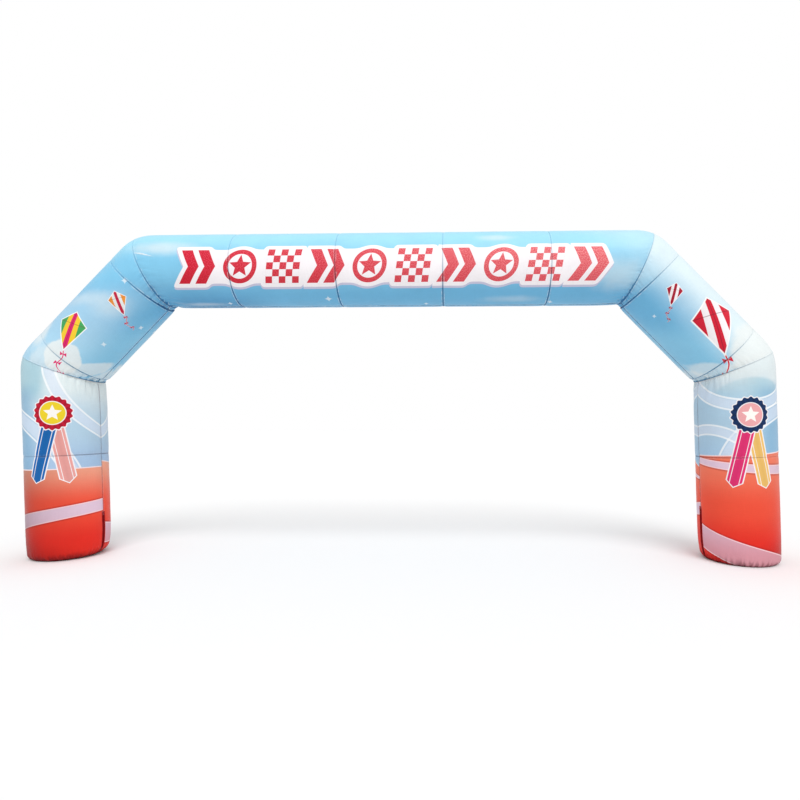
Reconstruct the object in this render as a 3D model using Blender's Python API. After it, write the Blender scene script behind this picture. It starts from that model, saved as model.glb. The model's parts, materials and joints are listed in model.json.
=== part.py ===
"""Inflatable arch: one round cloth tube that goes up, slants in, runs level, slants out and comes down.

The tube is sewn from short panels. Each panel is a solid of its own, filled as the air fills it: it is round
between its seams, drawn in where a ring or mitre seam holds it, grooved along its lengthwise seam, and
gathered in at the floor. A closed vent slit lies low on each leg's lengthwise seam.

Metres, +Z up. The arch stands on Z = 0, spans X, and its front faces -Y. The passage's side of the tube is
called the inside of the bend, and an angle round the tube is measured from there.
"""

import math
from collections import namedtuple

import bpy
from mathutils import Vector

# Driving dimensions.
TUBE_RADIUS = 0.48
LEG_X = 4.52  # a leg's axis at the knee, from the arch's middle
CORNER_X = 3.235  # where a brace's axis meets the beam's
KNEE_Z = 2.545
BEAM_Z = 3.86
FOOT_SHIFT = 0.077  # each foot stands this far to +X of its knee, as the arch leans a little
LEG_SEAM_Z = 1.37
BEAM_PANEL = 1.365  # between two of the beam's ring seams
GUSSET_INNER = 0.055  # a gusset's length along the inside of the bend
MIDDLE_X = -0.0372  # brings the middle of the leaning arch's box to X = 0
PIECE_GAP = 0.0003

# Distances from the panel's start and end cuts, at each of them, and which way its half gap goes there.
PANEL_ENDS = ((0.0, math.inf, PIECE_GAP / 2), (math.inf, 0.0, -PIECE_GAP / 2))

# The mesh of a panel.
SIDES = 48
SEAM_STEPS = (0.04, 0.10, 0.25)  # rings of points this far from each seam
STEPS_SHARE = 0.9  # the rings beside both cuts take up this share of a short panel

# A seam draws the tube in by depth at the seam, which fades out over reach. On the outside of a bend both
# are more, because the cloth cuts the corner there. On the inside it puckers: every other side of the tube
# is drawn in by that much again.
Seam = namedtuple("Seam", "depth bend_depth reach bend_reach pucker")
RING = Seam(depth=0.010, bend_depth=0.0, reach=0.09, bend_reach=0.0, pucker=0.0)
CORNER = Seam(depth=0.012, bend_depth=0.033, reach=0.10, bend_reach=0.16, pucker=0.005)
KNEE = Seam(depth=0.012, bend_depth=0.024, reach=0.10, bend_reach=0.16, pucker=0.005)
LENGTHWISE_GROOVE = 0.008

# A foot has a rounded edge, a taper above it that is stronger beside the vent, and gathers in its hem.
Foot = namedtuple("Foot", "taper inner_taper gather")
FEET = {
    "left": Foot(taper=0.012, inner_taper=0.030, gather=0.012),
    "right": Foot(taper=0.004, inner_taper=0.034, gather=0.014),
}
FOOT_ROUND = 0.065
FOOT_TAPER_HEIGHT = 0.37
FOOT_STEPS = (0.025, FOOT_ROUND, 0.18, FOOT_TAPER_HEIGHT)

# The closed vent slit on each leg, from its lower end at the top of the foot's rounded edge.
VENT_WIDTH = 0.026
VENT_THICKNESS = 0.004
VENT_GAP = 0.0005
VENT_TOP = {"left": 0.54, "right": 0.67}

# A cut ends a panel: a plane, and the Seam there, or the Foot at the floor.
Cut = namedtuple("Cut", "point normal edge")
# A straight run of tube, with the direction along it and the direction towards the inside of the bend.
Tube = namedtuple("Tube", "start along inward")

Finish = namedtuple("Finish", "colour roughness")
FINISHES = {
    "track_cloth": Finish(colour=(0.80, 0.13, 0.08), roughness=0.5),
    "haze_cloth": Finish(colour=(0.60, 0.74, 0.84), roughness=0.5),
    "cloud_cloth": Finish(colour=(0.70, 0.80, 0.83), roughness=0.5),
    "sky_cloth": Finish(colour=(0.36, 0.63, 0.80), roughness=0.5),
    "vent_cloth": Finish(colour=(0.16, 0.01, 0.01), roughness=0.7),
}


def remove_everything():
    for thing in list(bpy.data.objects):
        bpy.data.objects.remove(thing)


def make_materials():
    materials = {}
    for name, finish in FINISHES.items():
        material = bpy.data.materials.new(name)
        material.use_nodes = True
        shader = material.node_tree.nodes["Principled BSDF"]
        shader.inputs["Base Color"].default_value = (*finish.colour, 1.0)
        shader.inputs["Roughness"].default_value = finish.roughness
        shader.inputs["Metallic"].default_value = 0.0
        materials[name] = material
    return materials


def add_object(name, points, faces, material):
    mesh = bpy.data.meshes.new(name)
    mesh.from_pydata([tuple(p) for p in points], [], faces)
    mesh.materials.append(material)
    mesh.shade_smooth()
    mesh.set_sharp_from_angle(angle=math.radians(40))
    thing = bpy.data.objects.new(name, mesh)
    bpy.context.scene.collection.objects.link(thing)


def tube_between(start, end):
    """The tube's axis runs from the left foot over the top to the right foot, so inside is to its right."""
    along = (end - start).normalized()
    return Tube(start, along, Vector((along.z, 0.0, -along.x)))


def bend_share(angle):
    """1 on the outside of the bend, falling softly to 0 on the inside."""
    return (0.5 - 0.5 * math.cos(angle)) ** 2


def drawn_in_by_seam(seam, side, angle, distance):
    """How far a seam pulls the cloth in, at a distance from it along the tube."""
    share = bend_share(angle)
    reach = seam.reach + seam.bend_reach * share
    fade = max(0.0, 1.0 - distance / reach)
    pucker = seam.pucker * (side % 2) * (1.0 - share)
    return (seam.depth + seam.bend_depth * share + pucker) * fade**2


def drawn_in_by_floor(foot, side, angle, height):
    """How far the foot is drawn in, at a height above the floor. Every other side of the tube is a gather."""
    taper_fade = max(0.0, 1.0 - height / FOOT_TAPER_HEIGHT) ** 1.5
    inner_share = (0.5 + 0.5 * math.cos(angle)) ** 2
    drawn_in = (foot.taper + foot.inner_taper * inner_share) * taper_fade
    if height < FOOT_ROUND:
        slope = (FOOT_ROUND - height) / FOOT_ROUND
        drawn_in += FOOT_ROUND * (1.0 - math.sqrt(1.0 - slope**2))
        drawn_in += foot.gather * (side % 2) * slope
    return drawn_in


def on_floor(cut):
    return isinstance(cut.edge, Foot)


def tube_radius(side, angle, from_start, from_end, cuts):
    """The tube's radius at a point that far along the cloth from the panel's two cuts."""
    radius = TUBE_RADIUS
    if side == 0:
        radius -= LENGTHWISE_GROOVE
    for cut, distance in zip(cuts, (from_start, from_end)):
        drawn_in = drawn_in_by_floor if on_floor(cut) else drawn_in_by_seam
        radius -= drawn_in(cut.edge, side, angle, distance)
    return radius


def reach_cut(tube, outwards, radius, cut, gap):
    """How far along the tube a generatrix at that radius meets the cut, half a gap short of it."""
    to_plane = (cut.point - tube.start - outwards * radius).dot(cut.normal) + gap
    return to_plane / tube.along.dot(cut.normal)


def ring_distances(near_steps, far_steps, length):
    """How far each ring between two cuts is from the first, with all drawn together where the cloth is short."""
    squeeze = min(1.0, STEPS_SHARE * length / (near_steps[-1] + far_steps[-1]))
    near = [step * squeeze for step in near_steps]
    return near + [length - step * squeeze for step in reversed(far_steps)]


def panel_rings(tube, cuts, vent_top):
    """The rings of points of one panel, from its start cut to its end cut."""
    columns = []
    for side in range(SIDES):
        angle = 2 * math.pi * side / SIDES
        outwards = tube.inward * math.cos(angle) + Vector((0.0, math.sin(angle), 0.0))
        ends = []
        for cut, (from_start, from_end, gap) in zip(cuts, PANEL_ENDS):
            radius = tube_radius(side, angle, from_start, from_end, cuts)
            ends.append((radius, reach_cut(tube, outwards, radius, cut, 0.0 if on_floor(cut) else gap)))
        length = ends[1][1] - ends[0][1]
        steps = [(*FOOT_STEPS, vent_top) if on_floor(cut) else SEAM_STEPS for cut in cuts]
        column = [tube.start + outwards * ends[0][0] + tube.along * ends[0][1]]
        for distance in ring_distances(*steps, length):
            radius = tube_radius(side, angle, distance, length - distance, cuts)
            column.append(tube.start + outwards * radius + tube.along * (ends[0][1] + distance))
        column.append(tube.start + outwards * ends[1][0] + tube.along * ends[1][1])
        columns.append(column)
    return [list(ring) for ring in zip(*columns)]


def make_panel(name, rings, material):
    points = [point for ring in rings for point in ring]
    faces = []
    for lower in range(len(rings) - 1):
        for side in range(SIDES):
            beside = (side + 1) % SIDES
            a, b = lower * SIDES + side, lower * SIDES + beside
            faces.append((a, b, b + SIDES, a + SIDES))
    faces.append(tuple(reversed(range(SIDES))))
    faces.append(tuple(range(len(points) - SIDES, len(points))))
    add_object(name, points, faces, material)


def make_vent(name, rings, inward, material):
    """A thin strip that lies in the lengthwise groove, over the panel's rings that it crosses."""
    points = []
    for ring in rings:
        middle, beside = ring[0], (ring[1], ring[-1])
        back = [middle]
        for neighbour in beside:
            across = neighbour - middle
            back.append(middle + across * (VENT_WIDTH / 2 / across.length))
        back = [back[1], back[0], back[2]]
        points += [point + inward * VENT_GAP for point in back]
        points += [point + inward * (VENT_GAP + VENT_THICKNESS) for point in reversed(back)]
    corners = 6
    faces = []
    for lower in range(len(rings) - 1):
        for corner in range(corners):
            a, b = lower * corners + corner, lower * corners + (corner + 1) % corners
            faces.append((a, b, b + corners, a + corners))
    faces.append(tuple(reversed(range(corners))))
    faces.append(tuple(range(len(points) - corners, len(points))))
    add_object(name, points, faces, material)


def mitre(point, before, after, seam):
    return Cut(point, (before.along + after.along).normalized(), seam)


def square_cut(tube, point):
    return Cut(point, tube.along, RING)


def gusset_cut(brace, bend, other, sign):
    """The ring seam of the gusset at a bend: square to the brace, just clear of the bend's inner corner."""
    half_bend = brace.along.angle(other.along) / 2
    return square_cut(brace, bend + brace.along * sign * (TUBE_RADIUS * math.tan(half_bend) + GUSSET_INNER))


def leg_seam_cut(leg):
    rise = (LEG_SEAM_Z - leg.start.z) / leg.along.z
    return square_cut(leg, leg.start + leg.along * rise)


def main():
    remove_everything()
    materials = make_materials()

    def place(x, z):
        return Vector((MIDDLE_X + x, 0.0, z))

    feet = place(-LEG_X + FOOT_SHIFT, 0.0), place(LEG_X + FOOT_SHIFT, 0.0)
    knees = place(-LEG_X, KNEE_Z), place(LEG_X, KNEE_Z)
    corners = place(-CORNER_X, BEAM_Z), place(CORNER_X, BEAM_Z)
    bends = (feet[0], knees[0], corners[0], corners[1], knees[1], feet[1])
    leg_left, brace_left, beam, brace_right, leg_right = [
        tube_between(start, end) for start, end in zip(bends, bends[1:])
    ]
    up = Vector((0.0, 0.0, 1.0))
    floors = Cut(feet[0], up, FEET["left"]), Cut(feet[1], -up, FEET["right"])
    knee_left = mitre(knees[0], leg_left, brace_left, KNEE)
    corner_left = mitre(corners[0], brace_left, beam, CORNER)
    corner_right = mitre(corners[1], beam, brace_right, CORNER)
    knee_right = mitre(knees[1], brace_right, leg_right, KNEE)
    beam_seams = [square_cut(beam, place((k - 1.5) * BEAM_PANEL, BEAM_Z)) for k in range(4)]

    # One row for each run of tube: its cuts in order, and the name and finish of each panel between them.
    runs = [
        (
            leg_left,
            [floors[0], leg_seam_cut(leg_left), knee_left],
            [("leg_lower_left", "track_cloth"), ("leg_upper_left", "haze_cloth")],
        ),
        (
            brace_left,
            [
                knee_left,
                gusset_cut(brace_left, knees[0], leg_left, 1),
                gusset_cut(brace_left, corners[0], beam, -1),
                corner_left,
            ],
            [
                ("knee_gusset_left", "cloud_cloth"),
                ("brace_left", "sky_cloth"),
                ("corner_gusset_left", "sky_cloth"),
            ],
        ),
        (
            beam,
            [corner_left, *beam_seams, corner_right],
            [(f"beam_{k + 1}", "sky_cloth") for k in range(5)],
        ),
        (
            brace_right,
            [
                corner_right,
                gusset_cut(brace_right, corners[1], beam, 1),
                gusset_cut(brace_right, knees[1], leg_right, -1),
                knee_right,
            ],
            [
                ("corner_gusset_right", "sky_cloth"),
                ("brace_right", "sky_cloth"),
                ("knee_gusset_right", "cloud_cloth"),
            ],
        ),
        (
            leg_right,
            [knee_right, leg_seam_cut(leg_right), floors[1]],
            [("leg_upper_right", "haze_cloth"), ("leg_lower_right", "track_cloth")],
        ),
    ]
    for tube, cuts, panels in runs:
        for (name, finish), start, end in zip(panels, cuts, cuts[1:]):
            side = name.rsplit("_", 1)[-1]
            rings = panel_rings(tube, (start, end), VENT_TOP.get(side))
            make_panel(name, rings, materials[finish])
            if on_floor(start) or on_floor(end):
                first, last = FOOT_STEPS.index(FOOT_ROUND) + 1, len(FOOT_STEPS) + 1
                crossed = rings[first : last + 1] if on_floor(start) else rings[-last - 1 : -first]
                make_vent(f"vent_{side}", crossed, tube.inward, materials["vent_cloth"])


main()
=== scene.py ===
"""Inflatable arch, dressed: fifteen sewn cloth panels full of air, their print, and two closed vents.

Metres, +Z up. The arch stands on Z = 0, spans X, and its front faces -Y. The passage's side of the tube is
called the inside of the bend, and an angle round the tube is measured from there.
"""

import json
import math
from collections import namedtuple

import bmesh
import bpy
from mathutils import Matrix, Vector


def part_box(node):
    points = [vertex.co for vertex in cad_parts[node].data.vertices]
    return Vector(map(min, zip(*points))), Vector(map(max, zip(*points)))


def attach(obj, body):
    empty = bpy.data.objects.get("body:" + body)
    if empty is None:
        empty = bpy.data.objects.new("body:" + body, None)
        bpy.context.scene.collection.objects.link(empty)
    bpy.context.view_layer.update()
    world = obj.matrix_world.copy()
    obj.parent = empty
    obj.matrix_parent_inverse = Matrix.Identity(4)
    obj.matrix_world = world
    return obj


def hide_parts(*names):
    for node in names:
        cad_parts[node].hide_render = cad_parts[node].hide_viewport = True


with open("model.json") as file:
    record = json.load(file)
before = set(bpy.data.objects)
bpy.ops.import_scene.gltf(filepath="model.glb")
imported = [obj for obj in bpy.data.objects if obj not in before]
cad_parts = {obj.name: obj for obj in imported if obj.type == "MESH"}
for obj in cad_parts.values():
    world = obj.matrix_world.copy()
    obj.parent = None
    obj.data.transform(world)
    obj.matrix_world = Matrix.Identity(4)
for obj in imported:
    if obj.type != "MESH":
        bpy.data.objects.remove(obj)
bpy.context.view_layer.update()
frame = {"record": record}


# ---- The tube's course -----------------------------------------------------------------------------
# One round tube of coated cloth goes up each leg, slants in along a brace and runs level as the beam.
# Its size, its height and its feet are the solids' own. Each leg and brace is measured from the ground up.

beam_low, beam_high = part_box("beam_3")
TUBE_RADIUS = (beam_high.y - beam_low.y) / 2
BEAM_Z = (beam_low.z + beam_high.z) / 2
KNEE_Z = 2.545
KNEE_FROM_FOOT = {"left": -0.077, "right": -0.077}  # the arch leans this far to -X on its way up
CORNER_IN = 1.285  # from a knee in to the beam's corner
PASSAGE = Vector((0.0, 0.0, 1.5))

Run = namedtuple("Run", "start along inward")


def run_between(start, end):
    """A straight run of tube, with the directions along it and towards the inside of its bend."""
    along = (end - start).normalized()
    inward = Vector((along.z, 0.0, -along.x))
    if inward.dot(PASSAGE - start) < 0.0:
        inward.negate()
    return Run(start, along, inward)


SIDES = {"left": 1.0, "right": -1.0}  # which way along X the passage lies
feet = {m["name"].removeprefix("foot_"): Vector(m["pos_m"]) for m in frame["record"]["mounts"]}
knees = {side: feet[side] + Vector((KNEE_FROM_FOOT[side], 0.0, KNEE_Z)) for side in SIDES}
corners = {side: Vector((knees[side].x + SIDES[side] * CORNER_IN, 0.0, BEAM_Z)) for side in SIDES}
legs = {side: run_between(feet[side], knees[side]) for side in SIDES}
braces = {side: run_between(knees[side], corners[side]) for side in SIDES}
beam = run_between(corners["left"], corners["right"])


# ---- Lower legs ------------------------------------------------------------------------------------
# The two panels that stand on the ground. Each is one piece of coated polyester cloth, printed as a red
# running ground, closed by a lengthwise seam on the passage's side and gathered in under the foot.

LEG_SEAM_Z = 1.37


class Wire:
    """One value in a node tree. Sums, products and the like of wires add the Math nodes for them."""

    def __init__(self, socket):
        self.tree, self.socket = socket.id_data, socket

    def math(self, operation, *others):
        node = self.tree.nodes.new("ShaderNodeMath")
        node.operation = operation
        return wired(node, enumerate((self, *others)))

    def __add__(self, other):
        return self.math("ADD", other)

    def __sub__(self, other):
        return self.math("SUBTRACT", other)

    def __rsub__(self, other):
        return self * -1.0 + other

    def __mul__(self, other):
        return self.math("MULTIPLY", other)

    def __truediv__(self, other):
        return self.math("DIVIDE", other)

    def __rtruediv__(self, other):
        return self**-1.0 * other

    def __pow__(self, other):
        return self.math("POWER", other)

    def __abs__(self):
        return self.math("ABSOLUTE")

    __radd__, __rmul__ = __add__, __mul__

    def clamped(self):
        return self.math("MINIMUM", 1.0).math("MAXIMUM", 0.0)

    def vector_math(self, operation, other, entry=1):
        node = self.tree.nodes.new("ShaderNodeVectorMath")
        node.operation = operation
        return wired(node, {0: self, entry: other})

    def scaled(self, factor):
        """This vector, times a number."""
        return self.vector_math("SCALE", factor, "Scale")

    def plus(self, vector):
        """The sum of two vectors."""
        return self.vector_math("ADD", vector)

    def rise(self, low, high, kind="SMOOTHSTEP"):
        """0 at low and 1 at high, and held there beyond them. With low above high it falls."""
        node = self.tree.nodes.new("ShaderNodeMapRange")
        node.interpolation_type = kind
        return wired(node, {"Value": self, "From Min": low, "From Max": high}, "Result")


def plug(value, socket):
    if isinstance(value, Wire):
        value.tree.links.new(value.socket, socket)
    else:
        socket.default_value = value


def wired(node, values, output=0):
    """A node with its values plugged in, by input, and one of its outputs as a wire."""
    for entry, value in dict(values).items():
        plug(value, node.inputs[entry])
    return Wire(node.outputs[output])


def combined(x, y, z=0.0):
    return wired(x.tree.nodes.new("ShaderNodeCombineXYZ"), enumerate((x, y, z)))


def separated(vector):
    node = vector.tree.nodes.new("ShaderNodeSeparateXYZ")
    plug(vector, node.inputs[0])
    return [Wire(output) for output in node.outputs]


def noise(place, scale, detail=2.0, roughness=0.5):
    """Smooth noise from 0 to 1 at a place, the same on every run."""
    values = {"Vector": place, "Scale": scale, "Detail": detail, "Roughness": roughness}
    return wired(place.tree.nodes.new("ShaderNodeTexNoise"), values)


ORIGIN = (0.0, 0.0, 0.0)


def socket_kind(value):
    """The kind of socket that takes a value. A word is the name of a kind that has no default value."""
    if isinstance(value, tuple):
        return "Vector" if len(value) == 3 else "Color"
    return "Float" if isinstance(value, float) else value


def new_group(name, kind, inputs, outputs):
    """An empty node group, its named inputs as wires, and a function that plugs a wire into an output."""
    tree = bpy.data.node_groups.new(name, kind)
    for title, value in inputs.items():
        socket = "NodeSocket" + socket_kind(value)
        entry = tree.interface.new_socket(title, in_out="INPUT", socket_type=socket)
        if not isinstance(value, str):
            entry.default_value = value
    for title, socket in outputs.items():
        tree.interface.new_socket(title, in_out="OUTPUT", socket_type="NodeSocket" + socket)
    entries = tree.nodes.new("NodeGroupInput")
    leave = tree.nodes.new("NodeGroupOutput")
    wires = {title: Wire(entries.outputs[title]) for title in inputs}
    return tree, wires, lambda title, wire: plug(wire, leave.inputs[title])


# How a panel is sewn at one of its cuts. The cloth is turned in there on a small radius, and on a wider one
# on the passage's side of a foot. Beyond the turn it is pinched in all round, more on the outside of a bend,
# or more on the passage's side of a foot, and that fades out over the reach. Puckers start beside the seam,
# and wider folds on the inside of the bend.
Edge = namedtuple(
    "Edge",
    "turn inner_turn pinch outer_pinch inner_pinch reach outer_reach "
    "pucker pucker_width pucker_reach fold fold_reach",
)
EDGE_INPUTS = [field.replace("_", " ") for field in Edge._fields]
CUT_INPUTS = ["place", "slant", *EDGE_INPUTS]
LEFT_FOOT = Edge(0.065, 0.060, 0.012, 0.0, 0.030, 0.42, 0.0, 0.034, 0.07, 0.20, 0.010, 0.30)
FOOT_EDGES = {"left": LEFT_FOOT, "right": LEFT_FOOT._replace(inner_turn=0.0, pinch=0.004, inner_pinch=0.022)}
RING_EDGE = Edge(0.005, 0.0, 0.004, 0.0, 0.0, 0.06, 0.0, 0.008, 0.05, 0.14, 0.0, 0.20)

# Where a run is cut: how far along it, and how much further for each metre towards the inside of the bend.
Cut = namedtuple("Cut", "place slant edge")


def cut_run(run, point, normal, edge):
    across = run.along.dot(normal)
    return Cut((point - run.start).dot(normal) / across, -run.inward.dot(normal) / across, edge)


def ring_cut(place):
    return Cut(place, 0.0, RING_EDGE)


SEAM_GAP = 0.00015  # between the seam and each of its two panels
COLUMNS = 320  # of points round the tube
ROW_PITCH = 0.0115
TURN_ROWS = 6.0  # rows of points round a turned edge
SIDE_TURN = 0.006  # the lengthwise seam's turned edge
SIDE_PINCH = 0.004
SIDE_REACH = 0.06
SIDE_PUCKER = 0.0045
SIDE_PUCKER_REACH = 0.11
SIDE_PUCKER_WIDTH = 0.05
PUCKER_START = 0.012  # from the seam to where a pucker is deepest
PUCKER_STRETCH = 0.2  # how much slower a pucker changes away from its seam than beside it
FOLD_WIDTH = 0.12
WIDEST_STITCHED = 0.02  # a wider turn, as at a foot, has no stitches
SWELL = 0.003  # how far the wide, soft unevenness of the cloth goes in or out
SWELL_WIDTH = 0.38
SWELL_START = 0.15  # from a seam to where the swell is at its full height
CREASE_WIDTH = 0.012


def turned_rows(row, turn):
    """How far a row of points is from the seam, close together round the turned edge and no further."""
    quarter = (row / TURN_ROWS).math("MINIMUM", 1.0) * (math.pi / 2)
    return (1.0 - quarter.math("COSINE")) * turn


def rows_between(row, last, near_turn, far_turn, length):
    """How far a row of points is from the near seam of a cloth of that length, turned in at both seams."""
    share = ((row - TURN_ROWS) / (last - 2.0 * TURN_ROWS)).clamped()
    share = share - (share * (2.0 * math.pi)).math("SINE") * 0.08  # closer together near the seams
    middle = share * (length - near_turn - far_turn)
    return turned_rows(row, near_turn) + middle + far_turn - turned_rows(last - row, far_turn)


def turned_in(distance, turn):
    """How far the turned edge has gone in: a quarter of a circle."""
    slope = (1.0 - distance / turn).clamped()
    return (1.0 - (1.0 - slope * slope).math("SQRT")) * turn


def fading(distance, reach):
    """1 at the seam, curving down to 0 at the reach."""
    return (1.0 - distance / reach).clamped() ** 2.0


def puckers(place, width, distance, reach):
    """Creases that run away from a seam, at full depth just past its turned edge."""
    in_widths = place.scaled(1.0 / width)
    valley = (1.0 - abs(noise(in_widths, 1.0, 1.0) - 0.5) * 9.0).clamped() ** 1.3
    soft = noise(in_widths, 0.6, 0.0)
    return (valley * 0.75 + soft * 0.5) * fading(distance, reach) * distance.rise(0.0, PUCKER_START)


def passed_through(mesh, *steps):
    """A mesh after it has gone through a chain of nodes, each with its own inputs."""
    for kind, values in steps:
        mesh = wired(mesh.tree.nodes.new(kind), {0: mesh, **values})
    return mesh


def sewn_panel_tree():
    """One panel of the tube, from a flat grid: columns go round from the lengthwise seam, rows go along."""
    inputs = {
        "Geometry": "Geometry",
        "Run start": ORIGIN,
        "Along": (0.0, 0.0, 1.0),
        "Inward": (1.0, 0.0, 0.0),
        "Radius": 0.5,
        "Columns": 100.0,
        "Rows": 100.0,
        **{f"{end} {name}": 0.1 for end in ("Start", "End") for name in CUT_INPUTS},
        "Crease angle": 0.0,
        "Crease place": -1.0,  # off the cloth, as on all panels but one
        "Crease length": 0.1,
        "Crease slant": 0.0,
        "Crease height": 0.0,
        "Cloth": "Material",
    }
    tree, given, put_out = new_group("Sewn panel", "GeometryNodeTree", inputs, {"Geometry": "Geometry"})
    radius, columns, last = given["Radius"], given["Columns"], given["Rows"]
    starts, stops = [Edge(*(given[f"{end} {name}"] for name in EDGE_INPUTS)) for end in ("Start", "End")]

    sizes = {"Size X": columns, "Size Y": last + 2.0, "Vertices X": columns + 1.0, "Vertices Y": last + 3.0}
    mesh = wired(tree.nodes.new("GeometryNodeMeshGrid"), sizes, "Mesh")
    flat_x, flat_y, _ = separated(Wire(tree.nodes.new("GeometryNodeInputPosition").outputs[0]))
    column = (flat_x + columns / 2.0).math("ROUND")
    # One row before the first and one after the last close the panel's ends.
    any_row = (flat_y + last / 2.0).math("ROUND")
    row = any_row.math("MAXIMUM", 0.0).math("MINIMUM", last)
    on_cloth = abs(any_row - row) * -1.0 + 1.0

    girth = radius * (2 * math.pi)
    around = rows_between(column, columns, SIDE_TURN, SIDE_TURN, girth)
    angle = around / radius
    cosine, sine = angle.math("COSINE"), angle.math("SINE")
    from_side = around.math("MINIMUM", girth - around)
    outer = (0.5 - cosine * 0.5) ** 2.0
    inner = (0.5 + cosine * 0.5) ** 2.0
    starts, stops = [edge._replace(turn=edge.turn + edge.inner_turn * inner) for edge in (starts, stops)]

    def pinched(edge, distance):
        """How far one seam draws the cloth in, at a distance from it."""
        pinch = edge.pinch + edge.outer_pinch * outer + edge.inner_pinch * inner
        reach = edge.reach + edge.outer_reach * outer
        return pinch * fading(distance, reach) + turned_in(distance, edge.turn)

    side_groove = turned_in(from_side, SIDE_TURN) + fading(from_side, SIDE_REACH) * SIDE_PINCH
    seams = []
    for end, edge, gap in (("Start", starts, SEAM_GAP), ("End", stops, -SEAM_GAP)):
        at_seam = radius - side_groove - pinched(edge, last * 0.0)
        seams.append(given[f"{end} place"] + given[f"{end} slant"] * cosine * at_seam * on_cloth + gap)
    length = seams[1] - seams[0]
    from_start = rows_between(row, last, starts.turn, stops.turn, length)
    from_end = length - from_start
    along = seams[0] + from_start
    beside = combined((around - girth / 2.0).math("SIGN") * 4.0, from_side * PUCKER_STRETCH, along)
    folds = puckers(beside, SIDE_PUCKER_WIDTH, from_side, SIDE_PUCKER_REACH) * SIDE_PUCKER
    for edge, distance, seed in ((starts, from_start, 3.1), (stops, from_end, 7.7)):
        ring = combined(cosine * radius, sine * radius, distance * PUCKER_STRETCH + seed)
        even = puckers(ring, edge.pucker_width, distance, edge.pucker_reach)
        folds = folds + even * edge.pucker * (0.4 + inner * 0.6)
        folds = folds + puckers(ring, FOLD_WIDTH, distance, edge.fold_reach) * edge.fold * (inner**2.0 + 0.10)
    depth = side_groove + pinched(starts, from_start) + pinched(stops, from_end) + folds
    nearest = from_start.math("MINIMUM", from_end).math("MINIMUM", from_side)
    stitched = column.math("COMPARE", TURN_ROWS, 0.5) + column.math("COMPARE", columns - TURN_ROWS, 0.5)
    stitched = stitched * from_start.math("GREATER_THAN", starts.turn)
    for edge, turned_row in ((starts, TURN_ROWS), (stops, last - TURN_ROWS)):
        sewn = edge.turn.math("LESS_THAN", WIDEST_STITCHED)
        stitched = stitched + row.math("COMPARE", turned_row, 0.5) * sewn
    run_x, _, _ = separated(given["Run start"])
    cloth_place = combined(cosine * radius, sine * radius, along + run_x * 3.0)
    swell = (noise(cloth_place, 1.0 / SWELL_WIDTH, 2.0) - 0.5) * (2.0 * SWELL)
    depth = depth + swell * nearest.rise(0.0, SWELL_START)
    beyond = from_start - given["Crease place"]
    beside_crease = (angle - given["Crease angle"]) * radius - beyond * given["Crease slant"]
    crease = (1.0 - abs(beyond) / given["Crease length"]).clamped()
    crease = crease * (1.0 - abs(beside_crease) / CREASE_WIDTH).clamped()
    depth = depth - crease**1.5 * given["Crease height"]
    tube_radius = (radius - depth) * on_cloth
    on_run = given["Run start"].plus(given["Along"].scaled(along))
    side = given["Along"].vector_math("CROSS_PRODUCT", given["Inward"])
    place = on_run.plus(given["Inward"].scaled(tube_radius * cosine)).plus(side.scaled(tube_radius * sine))

    # The board is the arch's front rolled out flat, in metres across X and up Z. The back mirrors it.
    towards_inside = (abs(angle - math.pi) - math.pi / 2) * radius
    board_x, _, board_z = separated(on_run.plus(given["Inward"].scaled(towards_inside)))
    for name, kind, domain, value in (
        ("Board", "FLOAT2", "CORNER", combined(board_x, board_z)),
        ("Weave", "FLOAT2", "CORNER", combined(around, along)),
        ("Seam distance", "FLOAT", "POINT", nearest),
        ("Crease", "FLOAT", "POINT", crease),
        ("Fold depth", "FLOAT", "POINT", folds),
        ("Stitched", "BOOLEAN", "POINT", stitched.math("GREATER_THAN", 0.5)),
    ):
        store = tree.nodes.new("GeometryNodeStoreNamedAttribute")
        store.data_type, store.domain = kind, domain
        mesh = wired(store, {"Name": name, "Geometry": mesh, "Value": value}, "Geometry")
    shaped = ("GeometryNodeSetPosition", {"Position": place})
    closed = ("GeometryNodeMergeByDistance", {"Distance": 0.00001})
    smooth = ("GeometryNodeSetShadeSmooth", {})
    realized = ("GeometryNodeRealizeInstances", {})
    finish = ("GeometryNodeSetMaterial", {"Material": given["Cloth"]})
    put_out("Geometry", passed_through(mesh, shaped, closed, smooth, realized, finish))
    return tree


def new_thing(name, mesh=None):
    thing = bpy.data.objects.new(name, mesh or bpy.data.meshes.new(name))
    bpy.context.scene.collection.objects.link(thing)
    return thing


def grow_on(thing, tree, values):
    """Turns an object into the plain mesh that a Geometry Nodes tree makes of it with these inputs."""
    modifier = thing.modifiers.new(tree.name, "NODES")
    modifier.node_group = tree
    for entry in tree.interface.items_tree:
        if entry.in_out == "INPUT" and entry.name in values:
            modifier[entry.identifier] = values[entry.name]
    grown = bpy.data.meshes.new_from_object(thing.evaluated_get(bpy.context.evaluated_depsgraph_get()))
    grown.name = thing.name
    thing.modifiers.remove(modifier)
    thing.data = grown
    return thing


sewn_panel = sewn_panel_tree()
panels = {}


def sew(node, run, start, end, cloth, crease=None):
    """One panel between two cuts, in the place of its solid."""
    longest = end.place - start.place + (abs(start.slant) + abs(end.slant)) * TUBE_RADIUS
    values = {
        "Run start": run.start,
        "Along": run.along,
        "Inward": run.inward,
        "Radius": TUBE_RADIUS,
        "Columns": float(COLUMNS),
        "Rows": float(round(longest / ROW_PITCH) + 2 * TURN_ROWS),
        "Cloth": cloth,
        **(crease or {}),
    }
    for name, cut in (("Start", start), ("End", end)):
        values.update(zip((f"{name} {entry}" for entry in CUT_INPUTS), (cut.place, cut.slant, *cut.edge)))
    panel = grow_on(new_thing(node + "_cloth"), sewn_panel, values)
    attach(panel, "root")
    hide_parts(node)
    panels[node] = panel


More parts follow.
